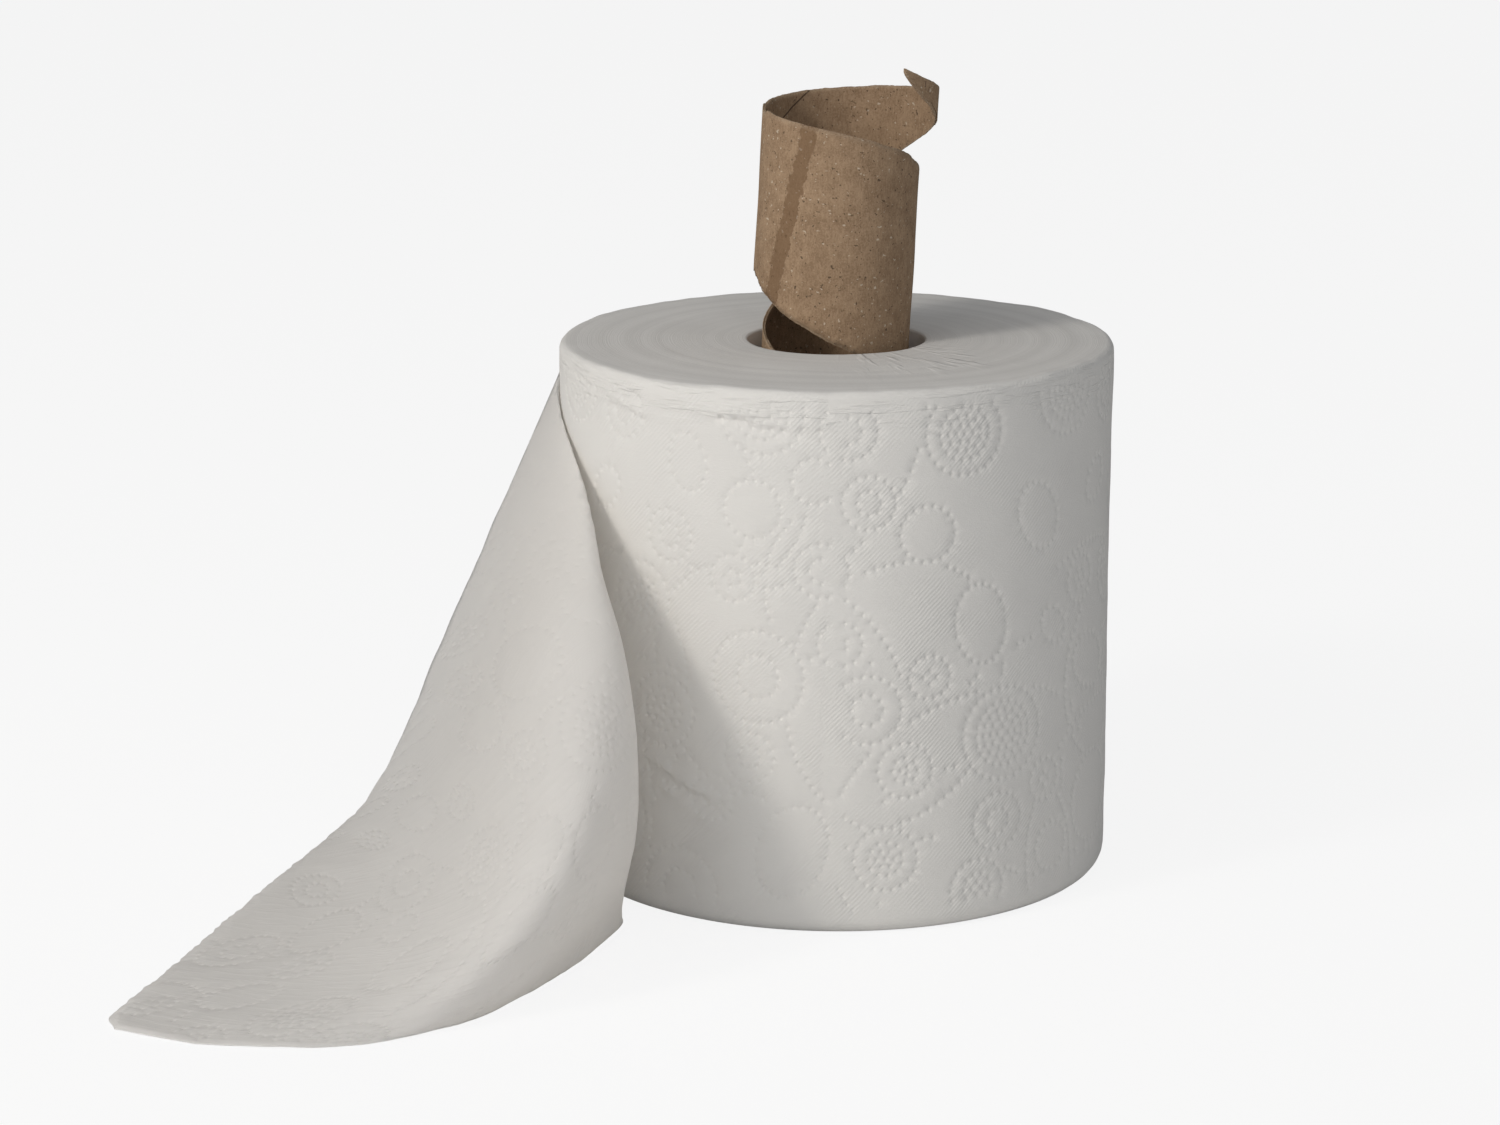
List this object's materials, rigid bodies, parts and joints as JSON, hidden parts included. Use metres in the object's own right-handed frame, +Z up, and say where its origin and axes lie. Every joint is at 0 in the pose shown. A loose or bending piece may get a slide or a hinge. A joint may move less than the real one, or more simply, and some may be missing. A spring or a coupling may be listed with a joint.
{
  "type": "centrefeed paper roll",
  "caption": "White embossed paper wiper roll standing on its end, its loose end falling to the floor, with a spiral cardboard core pulled up out of the bore and torn open along its seam.",
  "frame": {"origin": "centre of the roll's base, on its axis at the surface it stands on", "axes": "+Z up along the roll's axis, -Y towards the viewer of the picture, -X towards the loose end"},
  "size_m": [0.323, 0.2991, 0.2787],
  "materials": {
    "tissue": "matt soft embossed tissue",
    "core_board": "matt grey-brown spiral-wound board"
  },
  "bodies": {
    "root": {"paper_roll": "tissue", "loose_end": "tissue", "core": "core_board"}
  },
  "joints": []
}
